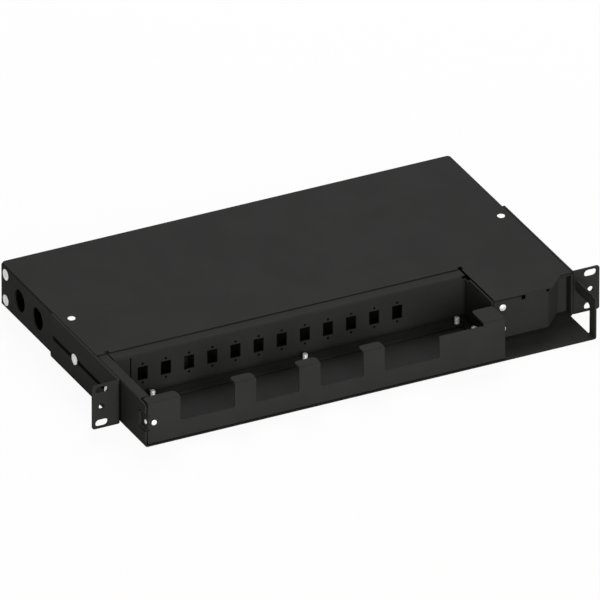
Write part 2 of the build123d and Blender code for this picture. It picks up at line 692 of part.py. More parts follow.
def finger_spans():
    """Left and right of each finger, with the depth of its top flange."""
    spans = [(GUARD_LEFT, GUARD_LEFT + FINGER_FIRST_WIDTH, FINGER_FLANGE)]
    for i in range(FINGER_COUNT):
        left = GUARD_LEFT + FINGER_SECOND + i * FINGER_PITCH
        spans.append((left, left + FINGER_WIDTH, FINGER_FLANGE))
    low_plate_end = GUARD_LEFT + LOW_PLATE_START + LOW_PLATE_WIDTH
    spans.append((low_plate_end, GUARD_RIGHT, FINGER_END_FLANGE))
    return spans


def window_spans():
    """Left and right of each opening between the fingers."""
    fingers = finger_spans()
    rights = [finger[0] for finger in fingers[1:4]] + [GUARD_LEFT + LOW_PLATE_START]
    return [(finger[1], right) for finger, right in zip(fingers, rights)]


def guard_face():
    """Face of the guard, with rounded windows that are open at the top."""
    low, high = FLOOR + FOLD_R, TOP - FOLD_R
    outline = rect(GUARD_LEFT, GUARD_RIGHT, low, high)
    outline -= rect(GUARD_LEFT, GUARD_LEFT + FOLD_R, LUG_LOW - GUARD_TAB_RELIEF, LUG_HIGH + GUARD_TAB_RELIEF)
    for left, right in window_spans():
        window = rect(left, right, BOTTOM + GUARD_SILL, TOP + 2 * WINDOW_R)
        outline -= fillet(window.vertices(), WINDOW_R)
    start = GUARD_LEFT + LOW_PLATE_START
    outline -= rect(start, start + LOW_PLATE_WIDTH, BOTTOM + GUARD_LOW_TOP, TOP)
    return along(outline, FRONT, FRONT + SHEET)


def finger_top(left, right, depth):
    """Bent top of one finger, with rounded corners at its tip."""
    mid_y, mid_z = FRONT + SHEET / 2, TOP - SHEET / 2
    section = bent([(mid_y, TOP - 2 * FOLD_R), (mid_y, mid_z), (FRONT + depth, mid_z)])
    top = across(section, left, right)
    tips = top.edges().filter_by(Axis.Z).group_by(Axis.Y)[-1]
    return fillet(tips, FINGER_TIP_R)


def rivet_xs():
    run = GUARD_RIGHT - GUARD_LEFT - 2 * RIVET_INSET
    step = run / (RIVET_COUNT - 1)
    return [GUARD_LEFT + RIVET_INSET + i * step for i in range(RIVET_COUNT)]


def front_guard():
    guard = guard_face()
    mid_y, low = FRONT + SHEET / 2, FLOOR + SHEET / 2
    foot = bent([(FRONT + GUARD_FOOT_DEPTH, low), (mid_y, low), (mid_y, FLOOR + 2 * FOLD_R)])
    guard += across(foot, GUARD_LEFT, GUARD_RIGHT)
    for left, right, depth in finger_spans():
        guard += finger_top(left, right, depth)
    side_x = GUARD_LEFT + SHEET / 2
    plan = bent([(side_x + 2 * FOLD_R, mid_y), (side_x, mid_y), (side_x, LUG_Y - GUARD_RETURN_GAP)])
    guard += upright(plan, LUG_LOW, LUG_HIGH)
    x, z = face_screw_spot()
    guard -= rod(FACE_SHANK_D + 2 * HOLE_GAP, (x, FRONT - SHEET, z), (x, FRONT + 2 * SHEET, z))
    y = FRONT + SIDE_SCREW_SETBACK
    guard -= rod(SIDE_SHANK_D + 2 * HOLE_GAP, (-SIDE, y, z), (GUARD_LEFT + 2 * SHEET, y, z))
    for x in rivet_xs():
        guard -= rod(RIVET_D + 2 * HOLE_GAP, (x, RIVET_Y, BOTTOM), (x, RIVET_Y, FLOOR + 2 * SHEET))
    return guard


def face_screw_spot():
    return GUARD_LEFT + FACE_SCREW_INSET, FACE_SCREW_RISE


def guard_corner_block():
    """Nut block that joins the guard to the lug of the left wall."""
    left = GUARD_LEFT + SHEET
    x, z = face_screw_spot()
    body = block(left, left + BLOCK_WIDTH, FRONT + SHEET, LUG_Y, z - BLOCK_HEIGHT / 2, z + BLOCK_HEIGHT / 2)
    body = chamfer(body.edges().filter_by(Axis.Z), BLOCK_CHAMFER)
    body -= rod(FACE_SHANK_D + 2 * THREAD_GAP, (x, FRONT, z), (x, FRONT + SHEET + FACE_SHANK_LENGTH, z))
    y = FRONT + SIDE_SCREW_SETBACK
    depth = GUARD_LEFT + SIDE_SHANK_LENGTH + THREAD_GAP
    return body - rod(SIDE_SHANK_D + 2 * THREAD_GAP, (GUARD_LEFT, y, z), (depth, y, z))


def guard_face_screw():
    x, z = face_screw_spot()
    return screw((x, FRONT, z), (0, -1, 0), (FACE_HEAD_D, FACE_HEAD_H), (FACE_SHANK_D, FACE_SHANK_LENGTH))


def guard_side_screw():
    x, z = face_screw_spot()
    spot = (GUARD_LEFT, FRONT + SIDE_SCREW_SETBACK, z)
    return screw(spot, (-1, 0, 0), (SIDE_HEAD_D, SIDE_HEAD_H), (SIDE_SHANK_D, SIDE_SHANK_LENGTH))


def guard_rivets():
    head, shank = (RIVET_HEAD_D, RIVET_HEAD_H), (RIVET_D, 2 * SHEET)
    return [screw((x, RIVET_Y, FLOOR + SHEET), (0, 0, 1), head, shank, False) for x in rivet_xs()]


# Rear panel

def rear_panel():
    """Rear closure with side flanges forward and a top flange under the cover."""
    mid_y = REAR - SHEET / 2
    side_x = INSIDE - SHEET / 2
    low, high = FLOOR + BEND_R, UNDER_COVER - SHEET - BEND_R
    corners = [(-side_x, REAR - REAR_FLANGE), (-side_x, mid_y), (side_x, mid_y), (side_x, REAR - REAR_FLANGE)]
    panel = upright(bent(corners), low, high)
    top = UNDER_COVER - SHEET / 2
    section = bent([(mid_y, high - 2 * FOLD_R), (mid_y, top), (REAR - REAR_TOP_FLANGE, top)])
    lip = SIDE - FLANGE_WIDE - REAR_SIDE_RELIEF
    edge = UNDER_COVER - FOLD_R
    panel -= block(-lip, lip, REAR - FOLD_R, REAR + SHEET, edge, TOP)
    panel += across(section, -lip, lip)
    for z in rear_screw_zs():
        y = REAR - REAR_SCREW_INSET
        panel -= rod(REAR_SHANK_D + 2 * HOLE_GAP, (-SIDE, y, z), (SIDE, y, z))
    return panel


def rear_panel_screws():
    head, shank = (REAR_HEAD_D, REAR_HEAD_H), (REAR_SHANK_D, 2 * SHEET + NUT_HEIGHT)
    y = REAR - REAR_SCREW_INSET
    return [screw((side * SIDE, y, z), (side, 0, 0), head, shank)
            for side in (-1, 1) for z in rear_screw_zs()]


def rear_panel_nuts():
    y, x = REAR - REAR_SCREW_INSET, INSIDE - SHEET
    return [nut((side * x, y, z), (-side, 0, 0), REAR_SHANK_D) for side in (-1, 1) for z in rear_screw_zs()]


# Splice cassette

def cassette_outline(inset=0.0):
    length, width = CASSETTE_LENGTH - 2 * inset, CASSETTE_WIDTH - 2 * inset
    return Pos(CASSETTE_X, CASSETTE_Y) * RectangleRounded(length, width, CASSETTE_R - inset)


def winding_drum(side):
    """Curved wall that the spare fibre is wound round."""
    arc = CenterArc((0, 0), DRUM_R, -DRUM_HALF_ANGLE, 2 * DRUM_HALF_ANGLE)
    plan = trace(arc, line_width=CASSETTE_WALL)
    turn = 0 if side > 0 else 180
    return Pos(CASSETTE_X + side * DRUM_OFFSET, CASSETTE_Y) * (Rot(0, 0, turn) * plan)


def fibre_tabs():
    """Tabs at the top of the cassette wall that keep the fibre in."""
    tabs = Sketch()
    for side in (-1, 1):
        x = side * (CASSETTE_LENGTH / 2 - CASSETTE_WALL - TAB_REACH / 2)
        y = side * (CASSETTE_WIDTH / 2 - CASSETTE_WALL - TAB_REACH / 2)
        tabs += Pos(CASSETTE_X + x, CASSETTE_Y) * Rectangle(TAB_REACH + CASSETTE_WALL, TAB_LENGTH)
        for place in (-1, 1):
            shift = place * DRUM_OFFSET
            tabs += Pos(CASSETTE_X + shift, CASSETTE_Y + y) * Rectangle(TAB_LENGTH, TAB_REACH + CASSETTE_WALL)
    return tabs


def splice_cassette():
    """Open moulded tray with two winding drums and entries at its four corners."""
    top = FLOOR + CASSETTE_HEIGHT
    tray = upright(cassette_outline(), FLOOR, top)
    tray -= upright(cassette_outline(CASSETTE_WALL), FLOOR + CASSETTE_WALL, top)
    for side in (-1, 1):
        tray += upright(winding_drum(side), FLOOR + CASSETTE_WALL, top - DRUM_TOP_GAP)
    tray += upright(fibre_tabs(), top - TAB_SHEET, top)
    boss = Pos(CASSETTE_X, CASSETTE_Y) * Circle(BOSS_D / 2)
    tray += upright(boss, FLOOR + CASSETTE_WALL, top)
    half = CASSETTE_LENGTH / 2 - CASSETTE_R
    for side in (-1, 1):
        x = CASSETTE_X + side * half
        for end in (-1, 1):
            wall = CASSETTE_Y + end * (CASSETTE_WIDTH / 2 - CASSETTE_WALL / 2)
            tray -= block(x - CASSETTE_ENTRY / 2, x + CASSETTE_ENTRY / 2, wall - CASSETTE_WALL,
                          wall + CASSETTE_WALL, FLOOR + CASSETTE_WALL, top + SHEET)
    return tray - cassette_stud_rod(CASSETTE_STUD_D + 2 * HOLE_GAP)


def cassette_stud_rod(diameter):
    height = CASSETTE_HEIGHT + LID_SHEET + CASSETTE_NUT_H + STUD_SPARE
    return rod(diameter, (CASSETTE_X, CASSETTE_Y, FLOOR), (CASSETTE_X, CASSETTE_Y, FLOOR + height))


def cassette_stud():
    stud = cassette_stud_rod(CASSETTE_STUD_D)
    return chamfer(stud.faces().sort_by(Axis.Z)[-1].edges(), STUD_CHAMFER)


def splice_cassette_lid():
    """Clear lid on the cassette, with a finger cut-out at each end."""
    low = FLOOR + CASSETTE_HEIGHT
    lid = upright(cassette_outline(), low, low + LID_SHEET)
    for side in (-1, 1):
        x = CASSETTE_X + side * CASSETTE_LENGTH / 2
        lid -= rod(LID_FINGER_D, (x, CASSETTE_Y, low - SHEET), (x, CASSETTE_Y, low + 2 * SHEET))
    return lid - cassette_stud_rod(CASSETTE_STUD_D + 2 * HOLE_GAP)


def cassette_nut():
    low = FLOOR + CASSETTE_HEIGHT + LID_SHEET
    plan = RegularPolygon(CASSETTE_NUT_D / 2, CASSETTE_NUT_SIDES) - Circle(CASSETTE_STUD_D / 2 + THREAD_GAP)
    return upright(Pos(CASSETTE_X, CASSETTE_Y) * plan, low, low + CASSETTE_NUT_H)


def splice_combs():
    """Two holders with a groove for each splice sleeve."""
    pitch = (COMB_WIDTH - COMB_RIB) / COMB_GROOVES
    section = rect(-COMB_WIDTH / 2, COMB_WIDTH / 2, 0, COMB_BASE)
    for i in range(COMB_GROOVES + 1):
        y = -COMB_WIDTH / 2 + i * pitch
        section += rect(y, y + COMB_RIB, 0, COMB_HEIGHT)
    comb = across(section, -COMB_LENGTH / 2, COMB_LENGTH / 2)
    floor = FLOOR + CASSETTE_WALL
    return [Pos(CASSETTE_X, CASSETTE_Y + side * COMB_OFFSET, floor) * comb for side in (-1, 1)]


# Cable and fibre routing on the floor

def fibre_guides():
    """Four open clips that hold the fibre in wide bends round the cassette."""
    half, mid = GUIDE_CLIP_SPAN / 2, GUIDE_CLIP_SHEET / 2
    high = GUIDE_CLIP_HEIGHT - mid
    mouth = GUIDE_CLIP_MOUTH / 2
    corners = [(mouth, high), (half, high), (half, mid), (-half, mid), (-half, high), (-mouth, high)]
    clip = across(bent(corners, GUIDE_CLIP_SHEET, GUIDE_CLIP_R), -GUIDE_CLIP_WIDTH / 2, GUIDE_CLIP_WIDTH / 2)
    rows = [PLATE_Y + GUIDE_CLIP_FRONT, REAR - GUIDE_CLIP_REAR]
    return [Pos(side * GUIDE_CLIP_X, y, FLOOR) * clip for side in (-1, 1) for y in rows]


def cable_tie_bridges():
    """Raised straps beside the cable entries, where an incoming cable is tied."""
    half, mid = BRIDGE_SPAN / 2, BRIDGE_SHEET / 2
    foot, high = half + BRIDGE_FOOT, BRIDGE_HEIGHT - mid
    corners = [(-foot, mid), (-half, mid), (-half, high), (half, high), (half, mid), (foot, mid)]
    strap = across(bent(corners, BRIDGE_SHEET), -BRIDGE_WIDTH / 2, BRIDGE_WIDTH / 2)
    x = SIDE - BRIDGE_INSET
    return [Pos(side * x, y, FLOOR) * strap for side in (-1, 1) for y in ENTRY_YS]


NODES = {
    "bracket_right": bracket(1),
    "bracket_left": bracket(-1),
    "guide_screws_right": guide_screws(1),
    "guide_screws_left": guide_screws(-1),
    "guide_nuts": guide_nuts(),
    "base_shell": base_shell(),
    "cover": cover(),
    "cover_screws": cover_screws(),
    "cover_nuts": cover_nuts(),
    "box_side_wall": box_side_wall(),
    "apron_screws": apron_screws(),
    "apron_nuts": apron_nuts(),
    "floor_screw": floor_screw(),
    "adapter_plate": adapter_plate(),
    "plate_studs": plate_studs(),
    "front_guard": front_guard(),
    "guard_corner_block": guard_corner_block(),
    "guard_face_screw": guard_face_screw(),
    "guard_side_screw": guard_side_screw(),
    "guard_rivets": guard_rivets(),
    "rear_panel": rear_panel(),
    "rear_panel_screws": rear_panel_screws(),
    "rear_panel_nuts": rear_panel_nuts(),
    "splice_cassette": splice_cassette(),
    "splice_cassette_lid": splice_cassette_lid(),
    "splice_combs": splice_combs(),
    "cassette_stud": cassette_stud(),
    "cassette_nut": cassette_nut(),
    "fibre_guides": fibre_guides(),
    "cable_tie_bridges": cable_tie_bridges(),
}

os.makedirs("parts", exist_ok=True)
for name, shape in NODES.items():
    save(shape, name)
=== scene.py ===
"""Looks of a fibre patch drawer: powder coated sheet, zinc plated screws and a pale studio stage."""

import itertools
import math

import bmesh
import bpy
from bpy.props import FloatProperty, FloatVectorProperty, IntProperty, PointerProperty
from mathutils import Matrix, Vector


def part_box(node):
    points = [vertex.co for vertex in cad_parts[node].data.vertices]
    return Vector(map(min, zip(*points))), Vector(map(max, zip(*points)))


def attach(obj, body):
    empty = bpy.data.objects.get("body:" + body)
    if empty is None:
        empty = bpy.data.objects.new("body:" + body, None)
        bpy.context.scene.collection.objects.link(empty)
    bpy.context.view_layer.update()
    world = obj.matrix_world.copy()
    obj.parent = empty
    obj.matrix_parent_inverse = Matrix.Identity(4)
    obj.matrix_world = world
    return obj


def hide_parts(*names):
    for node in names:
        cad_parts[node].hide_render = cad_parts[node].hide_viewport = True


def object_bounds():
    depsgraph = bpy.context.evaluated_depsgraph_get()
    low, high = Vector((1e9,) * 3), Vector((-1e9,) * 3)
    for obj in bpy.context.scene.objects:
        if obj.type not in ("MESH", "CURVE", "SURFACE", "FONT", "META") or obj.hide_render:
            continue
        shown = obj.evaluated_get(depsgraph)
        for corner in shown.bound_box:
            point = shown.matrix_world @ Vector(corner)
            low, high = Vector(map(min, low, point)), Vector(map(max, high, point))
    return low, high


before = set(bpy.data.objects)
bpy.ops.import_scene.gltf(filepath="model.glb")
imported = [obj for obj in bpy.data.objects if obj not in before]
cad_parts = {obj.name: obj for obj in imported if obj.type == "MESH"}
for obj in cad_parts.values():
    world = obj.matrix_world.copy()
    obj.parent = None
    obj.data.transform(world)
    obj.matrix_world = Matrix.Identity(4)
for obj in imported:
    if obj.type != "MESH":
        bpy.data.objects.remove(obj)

bl_info = {
    "name": "Fibre Patch Drawer",
    "version": (1, 0, 0),
    "blender": (4, 5, 0),
    "location": "View3D > Sidebar > Patch Drawer",
    "description": "Finishes a sliding rack patch drawer around its fixed frame",
    "category": "Object",
}

MM = 0.001
CAD_BOX = [list(corner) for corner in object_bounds()]
DRAWER = "drawer"
RACK = "rack_brackets"
LEFT, RIGHT, FORWARD, UP = Vector((-1, 0, 0)), Vector((1, 0, 0)), Vector((0, -1, 0)), Vector((0, 0, 1))

# Screws: the ways that their heads face, head height, shank diameter and shank length in millimetres
SCREWS = {
    "guide_screws_left": ([LEFT], 1.3, 4.2, 6.8),
    "guide_screws_right": ([RIGHT], 1.3, 4.2, 6.8),
    "rear_panel_screws": ([LEFT, RIGHT], 1.0, 4.0, 6.0),
    "cover_screws": ([UP], 1.4, 4.0, 5.5),
    "apron_screws": ([FORWARD], 1.9, 3.0, 5.5),
    "guard_face_screw": ([FORWARD], 1.2, 3.0, 8.0),
    "guard_side_screw": ([LEFT], 0.7, 2.5, 3.0),
    "floor_screw": ([UP], 2.2, 3.0, 2.9),
}
SCREW_SIDES = 40

# Screw tip, as shares of the shank's diameter, and rounding, as a share of the head's height
SCREW_TIP = 0.12
SCREW_TIP_WIDTH = 0.76
SCREW_ROUNDING = 0.06

# Cross recess: turns of its two slots in degrees, and how a slot narrows at its foot
RECESS_TURNS = (45, 135)
RECESS_FOOT = (0.55, 0.6, 1)

# Studs: sides, plain foot and rounding of the threads
STUD_SIDES = 32
STUD_FOOT = 1.2 * MM
STUD_ROUNDING = 0.05 * MM

# Edge rounding: angles in degrees, and the length of a rim that counts as a hole's
SHARP_ANGLE = 35
SMOOTH_ANGLE = 50
NARROW_ANGLE = 80
STRAIGHT_ANGLE = 135
HOLE_RIM = 80 * MM
FINE_EDGE = 0.15 * MM
SOFT_EDGE = 0.3 * MM

# Merging of a loose CAD mesh
SAME_POINT = 0.001 * MM
FLAT_ANGLE = 0.5

# Noise seldom leaves this span
NOISE_SPAN = (0.3, 0.7)

# Lamps: width, azimuth and elevation in degrees, and colour
LAMPS = {
    "top_lamp": (1.6, 150, 50, (0.96, 1.0, 0.99)),
    "front_lamp": (1.4, -10, 18, (1.0, 0.995, 0.95)),
}
LAMP_DISTANCE = 2.4
SENSOR_WIDTH = 36.0
FLOOR_SIZE = 40


# Settings

class CoatSettings(bpy.types.PropertyGroup):
    """Powder coat of the folded sheets."""
    colour: FloatVectorProperty(name="Coat colour", description="Colour of the powder coat", size=3,
                                subtype="COLOR", default=(0.0268, 0.0268, 0.0262), min=0, max=1)
    patches: FloatProperty(name="Patch size", description="Width of the slightly paler patches",
                           default=0.04, unit="LENGTH")
    shift: FloatProperty(name="Patch shift", description="How much paler or darker a patch is", default=0.05,
                         min=0, max=1, subtype="FACTOR")
    rough: FloatProperty(name="Roughness", description="Roughness of the coat", default=0.62, min=0, max=1,
                         subtype="FACTOR")
    rough_shift: FloatProperty(name="Roughness shift", description="How much the roughness varies", min=0,
                               max=1, default=0.08, subtype="FACTOR")
    gloss: FloatProperty(name="Gloss", description="Strength of the coat's reflection", default=0.015,
                         min=0, max=1, subtype="FACTOR")
    grain: FloatProperty(name="Grain size", description="Width of the grains of the coat", default=0.0007,
                         unit="LENGTH")
    relief: FloatProperty(name="Grain relief", description="Height of the grains of the coat",
                          default=0.00006, unit="LENGTH")
    # Painted shade: the coat's colour is darkened near corners and gaps, out to this reach and by this depth
    painted_shade_reach: FloatProperty(name="Corner reach", description="How far the coat looks darker out of a corner",
                         default=0.004, unit="LENGTH")
    depth: FloatProperty(name="Corner depth", description="How much darker the coat looks in a corner",
                         default=0.85, min=0, max=1, subtype="FACTOR")
    edge: FloatProperty(name="Edge radius", description="Rounding of the coated edges", default=0.00012,
                        unit="LENGTH")


class FastenerSettings(bpy.types.PropertyGroup):
    """Screw heads and stud threads."""
    crown: FloatProperty(name="Crown", description="Domed part of a head's height", default=0.6, min=0,
                         max=1, subtype="FACTOR")
    rings: IntProperty(name="Dome rings", description="Rings of faces in a dome", default=6, min=2)
    recess_span: FloatProperty(name="Recess span", default=0.42, min=0, max=1, subtype="FACTOR",
                               description="Width of the cross recess, as a share of the head")
    recess_blade: FloatProperty(name="Recess blade", default=0.11, min=0, max=1, subtype="FACTOR",
                                description="Width of one slot, as a share of the head")
    recess_depth: FloatProperty(name="Recess depth", default=0.45, min=0, max=1, subtype="FACTOR",
                                description="Depth of the recess, as a share of the head's height")
    pitch: FloatProperty(name="Thread pitch", description="Distance from one thread to the next",
                         default=0.0008, unit="LENGTH")
    thread: FloatProperty(name="Thread depth", description="Depth of the thread grooves", default=0.00035,
                          unit="LENGTH")


class StageSettings(bpy.types.PropertyGroup):
    """Camera, floor and lamps."""
    azimuth: FloatProperty(name="Azimuth", description="Camera angle round the object, from the front",
                           default=math.radians(-26.345), subtype="ANGLE")
    elevation: FloatProperty(name="Elevation", description="Camera angle above the horizon",
                             default=math.radians(28.873), subtype="ANGLE")
    lens: FloatProperty(name="Lens", default=1600, min=1, unit="CAMERA",
                        description="Focal length in millimetres, long enough for parallel edges")
    view_width: FloatProperty(name="View width", description="Width that the picture covers at the object",
                              default=0.51308, unit="LENGTH")
    target: FloatVectorProperty(name="Target", description="Point at the middle of the picture", size=3,
                                subtype="XYZ", default=(0.001214, 0.09088, -0.00002))
    floor: FloatVectorProperty(name="Floor colour", description="Colour of the floor", size=3,
                               subtype="COLOR", default=(0.85, 0.85, 0.83), min=0, max=1)
    floor_glow: FloatProperty(name="Floor whiteness", default=0.94, min=0, max=1, subtype="FACTOR",
                              description="Share of plain white that the camera sees")
    top_power: FloatProperty(name="Top lamp", description="Power of the lamp overhead", default=47,
                             unit="POWER")
    front_power: FloatProperty(name="Front lamp", description="Power of the lamp at the front", default=49,
                               unit="POWER")
    world: FloatProperty(name="World", description="Strength of the light from all round", default=0.12)
    world_colour: FloatVectorProperty(name="World colour", description="Colour of the light from all round",
                                      size=3, subtype="COLOR", default=(1.0, 1.0, 0.92), min=0, max=1)


# Material nodes

def new_material(name):
    """Material and its Principled shader."""
    material = bpy.data.materials.new(name)
    material.use_nodes = True
    return material, material.node_tree.nodes["Principled BSDF"]


def add_node(material, kind, **values):
    """Node whose attributes or sockets get the values."""
    node = material.node_tree.nodes.new(kind)
    for key, value in values.items():
        if hasattr(node, key):
            setattr(node, key, value)
        else:
            node.inputs[key.replace("_", " ")].default_value = value
    return node


def link(material, start, end):
    material.node_tree.links.new(start, end)


def noise(material, size, detail=2.0):
    """Noise on Object coordinates whose grains are about as wide as the size."""
    place = add_node(material, "ShaderNodeTexCoord")
    grains = add_node(material, "ShaderNodeTexNoise", Scale=1 / size, Detail=detail)
    link(material, place.outputs["Object"], grains.inputs["Vector"])
    return grains.outputs["Fac"]


def ramp(material, source, low, high, start=0.35, end=0.65):
    """Spread a noise between two colours."""
    node = add_node(material, "ShaderNodeValToRGB")
    first, last = node.color_ramp.elements
    first.position = start
    last.position = end
    first.color = (*low, 1)
    last.color = (*high, 1)
    link(material, source, node.inputs["Fac"])
    return node.outputs["Color"]


def spread(material, source, low, high):
    """Spread a noise between two numbers."""
    node = add_node(material, "ShaderNodeMapRange", From_Min=NOISE_SPAN[0], From_Max=NOISE_SPAN[1],
                    To_Min=low, To_Max=high)
    link(material, source, node.inputs["Value"])
    return node.outputs["Result"]


def relief(material, shader, source, height, strength=1.0):
    """Grain that stands up from the surface by the height."""
    bump = add_node(material, "ShaderNodeBump", Strength=strength, Distance=height)
    link(material, source, bump.inputs["Height"])
    link(material, bump.outputs["Normal"], shader.inputs["Normal"])


def finish(slot):
    """Material of a slot, made once. The loaded frame has plain materials under the slots' own names."""
    name = f"{slot}_finish"
    return bpy.data.materials.get(name) or MAKERS[slot](name)


def powder_coat(name):
    """Fine-textured black powder coat, with painted shade that darkens its colour in corners and gaps."""
    coat = bpy.context.scene.drawer_coat
    material, shader = new_material(name)
    shader.inputs["Specular IOR Level"].default_value = coat.gloss
    fine = noise(material, coat.grain, 3.0)
    broad = noise(material, coat.patches, 2.0)
    dark = [(1 - coat.shift) * c for c in coat.colour]
    light = [(1 + coat.shift) * c for c in coat.colour]
    # Painted shade: an ambient occlusion mask multiplies the coat's colour, so corners and gaps come out
    # darker
    painted_corner_shade = add_node(material, "ShaderNodeAmbientOcclusion", Distance=coat.painted_shade_reach, samples=8)
    shade = add_node(material, "ShaderNodeMixRGB", blend_type="MULTIPLY", Fac=coat.depth)
    link(material, ramp(material, broad, dark, light), shade.inputs["Color1"])
    link(material, painted_corner_shade.outputs["AO"], shade.inputs["Color2"])
    link(material, shade.outputs["Color"], shader.inputs["Base Color"])
    rough = spread(material, fine, coat.rough - coat.rough_shift, coat.rough + coat.rough_shift)
    link(material, rough, shader.inputs["Roughness"])
    relief(material, shader, fine, coat.relief)
    return material


def zinc_plate(name):
    """Pale zinc plate with a dull, even sheen."""
    material, shader = new_material(name)
    shader.inputs["Metallic"].default_value = 0.35
    fine = noise(material, 0.4 * MM, 3.0)
    broad = noise(material, 3 * MM, 2.0)
    tint = ramp(material, broad, (0.80, 0.80, 0.78), (0.90, 0.90, 0.88))
    link(material, tint, shader.inputs["Base Color"])
    link(material, spread(material, fine, 0.38, 0.52), shader.inputs["Roughness"])
    relief(material, shader, fine, 0.01 * MM, 0.5)
    return material


def moulded(colour, rough, gloss=0.5):
    """Maker of a moulded plastic with a faint satin grain."""
    def maker(name):
        material, shader = new_material(name)
        shader.inputs["Specular IOR Level"].default_value = gloss
        fine = noise(material, 0.5 * MM, 2.0)
        broad = noise(material, 12 * MM, 2.0)
        dark = [0.93 * c for c in colour]
        link(material, ramp(material, broad, dark, colour), shader.inputs["Base Color"])
        link(material, spread(material, fine, rough - 0.06, rough + 0.06), shader.inputs["Roughness"])
        relief(material, shader, fine, 0.03 * MM, 0.4)
        return material
    return maker


def clear_plastic(name):
    """Clear, faintly blue plastic of the cassette's lid."""
    material, shader = new_material(name)
    haze = noise(material, 8 * MM, 1.0)
    tint = ramp(material, haze, (0.86, 0.90, 0.91), (0.92, 0.95, 0.96))
    link(material, tint, shader.inputs["Base Color"])
    link(material, spread(material, haze, 0.06, 0.12), shader.inputs["Roughness"])
    shader.inputs["Alpha"].default_value = 0.35
    return material


MAKERS = {
    "black_powder_coat": powder_coat,
    "zinc_plated_steel": zinc_plate,
    "black_plastic": moulded((0.012, 0.012, 0.012), 0.55, 0.02),
    "grey_plastic": moulded((0.42, 0.43, 0.43), 0.45),
    "white_plastic": moulded((0.75, 0.75, 0.72), 0.5),
    "clear_plastic": clear_plastic,
}


# Work on meshes

def deselect():
    bpy.ops.object.select_all(action="DESELECT")


def take(piece):
    """Make a piece the only selected object."""
    deselect()
    piece.select_set(True)
    bpy.context.view_layer.objects.active = piece


def edit(piece):
    """Open a piece in edit mode, with nothing selected and faces picked whole."""
    take(piece)
    bpy.ops.object.mode_set(mode="EDIT")
    bpy.ops.mesh.select_mode(type="FACE")
    bpy.ops.mesh.select_all(action="DESELECT")


def pick(piece, test):
    """Select the faces whose normal passes the test, in edit mode."""
    bpy.ops.mesh.select_all(action="DESELECT")
    bpy.ops.object.mode_set(mode="OBJECT")
    for face in piece.data.polygons:
        face.select = test(face.normal)
    bpy.ops.object.mode_set(mode="EDIT")


def faces_down(normal):
    return normal.z < -0.5


def close():
    bpy.ops.object.mode_set(mode="OBJECT")


def raise_faces(height):
    bpy.ops.mesh.extrude_region_move(TRANSFORM_OT_translate={"value": (0, 0, height)})


def face_outwards():
    bpy.ops.mesh.select_all(action="SELECT")
    bpy.ops.mesh.normals_make_consistent(inside=False)


def leave_slivers(piece, width):
    """Drop from the picked edges those that meet at a narrow angle or are too short to round."""
    shape = bmesh.from_edit_mesh(piece.data)
    spared = set()
    for corner in shape.verts:
        picked = [edge for edge in corner.link_edges if edge.select]
        ways = [(edge, edge.other_vert(corner).co - corner.co) for edge in picked]
        for (one, a), (two, b) in itertools.combinations(ways, 2):
            turn = math.degrees(a.angle(b))
            if turn < NARROW_ANGLE:
                spared.update((one, two))
            elif turn < STRAIGHT_ANGLE:
                spared.update(edge for edge, way in ((one, a), (two, b)) if way.length < width)
    for edge in spared:
        edge.select_set(False)
    bmesh.update_edit_mesh(piece.data)


def leave_holes(piece, rim):
    """Drop the picked edges that form a short rim by themselves, so that the holes stay crisp."""
    shape = bmesh.from_edit_mesh(piece.data)
    left = {edge for edge in shape.edges if edge.select}
    while left:
        ring = [left.pop()]
        for edge in ring:
            near = {other for corner in edge.verts for other in corner.link_edges} & left
            left -= near
            ring.extend(near)
        if sum(edge.calc_length() for edge in ring) < rim:
            for edge in ring:
                edge.select_set(False)
    bmesh.update_edit_mesh(piece.data)


def bevel(piece, width, segments=2, angle=SHARP_ANGLE, rim=0.0):
    """Round the sharp edges of a piece and shade it smooth between them."""
    edit(piece)
    bpy.ops.mesh.select_mode(type="EDGE")
    bpy.ops.mesh.edges_select_sharp(sharpness=math.radians(angle))
    leave_holes(piece, rim)
    leave_slivers(piece, width)
    bpy.ops.mesh.bevel(offset=width, segments=segments, profile=0.5, affect="EDGES", clamp_overlap=False)
    close()
    bpy.ops.object.shade_smooth_by_angle(angle=math.radians(SMOOTH_ANGLE))
    even = piece.modifiers.new("Even", "WEIGHTED_NORMAL")
    even.keep_sharp = True
    bpy.ops.object.modifier_apply(modifier=even.name)


def settle(piece, body, slot, node):
    """Give a finished piece the material of its slot and its body, in place of its node."""
    take(piece)
    bpy.ops.object.transform_apply(location=True, rotation=True, scale=True)
    piece.data.materials.clear()
    piece.data.materials.append(finish(slot))
    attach(piece, body)
    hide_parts(node)


def coated(node, name, body=DRAWER, slot="black_powder_coat", radius=None):
    """Copy of a node's mesh with its sharp edges rounded as the real finish rounds them."""
    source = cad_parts[node]
    piece = bpy.data.objects.new(name, source.data.copy())
    bpy.context.scene.collection.objects.link(piece)
    edit(piece)
    bpy.ops.mesh.select_all(action="SELECT")
    bpy.ops.mesh.customdata_custom_splitnormals_clear()
    bpy.ops.mesh.remove_doubles(threshold=SAME_POINT)
    bpy.ops.mesh.dissolve_limited(angle_limit=math.radians(FLAT_ANGLE))
    close()
    bevel(piece, radius or bpy.context.scene.drawer_coat.edge, rim=HOLE_RIM)
    settle(piece, body, slot, node)


def plain(node, slot):
    """Give a node that keeps its own mesh its material."""
    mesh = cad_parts[node].data
    mesh.materials.clear()
    mesh.materials.append(finish(slot))


def copy_to(pattern, name, spot, facing):
    """Copy of a pattern with its own mesh, its top at the spot and facing that way."""
    twin = pattern.copy()
    twin.data = pattern.data.copy()
    twin.name = name
    bpy.context.scene.collection.objects.link(twin)
    twin.location = spot
    twin.rotation_euler = Vector(facing).to_track_quat("Z", "Y").to_euler()
    return twin


def corners_of(node):
    """Lowest and highest corner of a node."""
    return [Vector(corner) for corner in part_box(node)]


# Fasteners

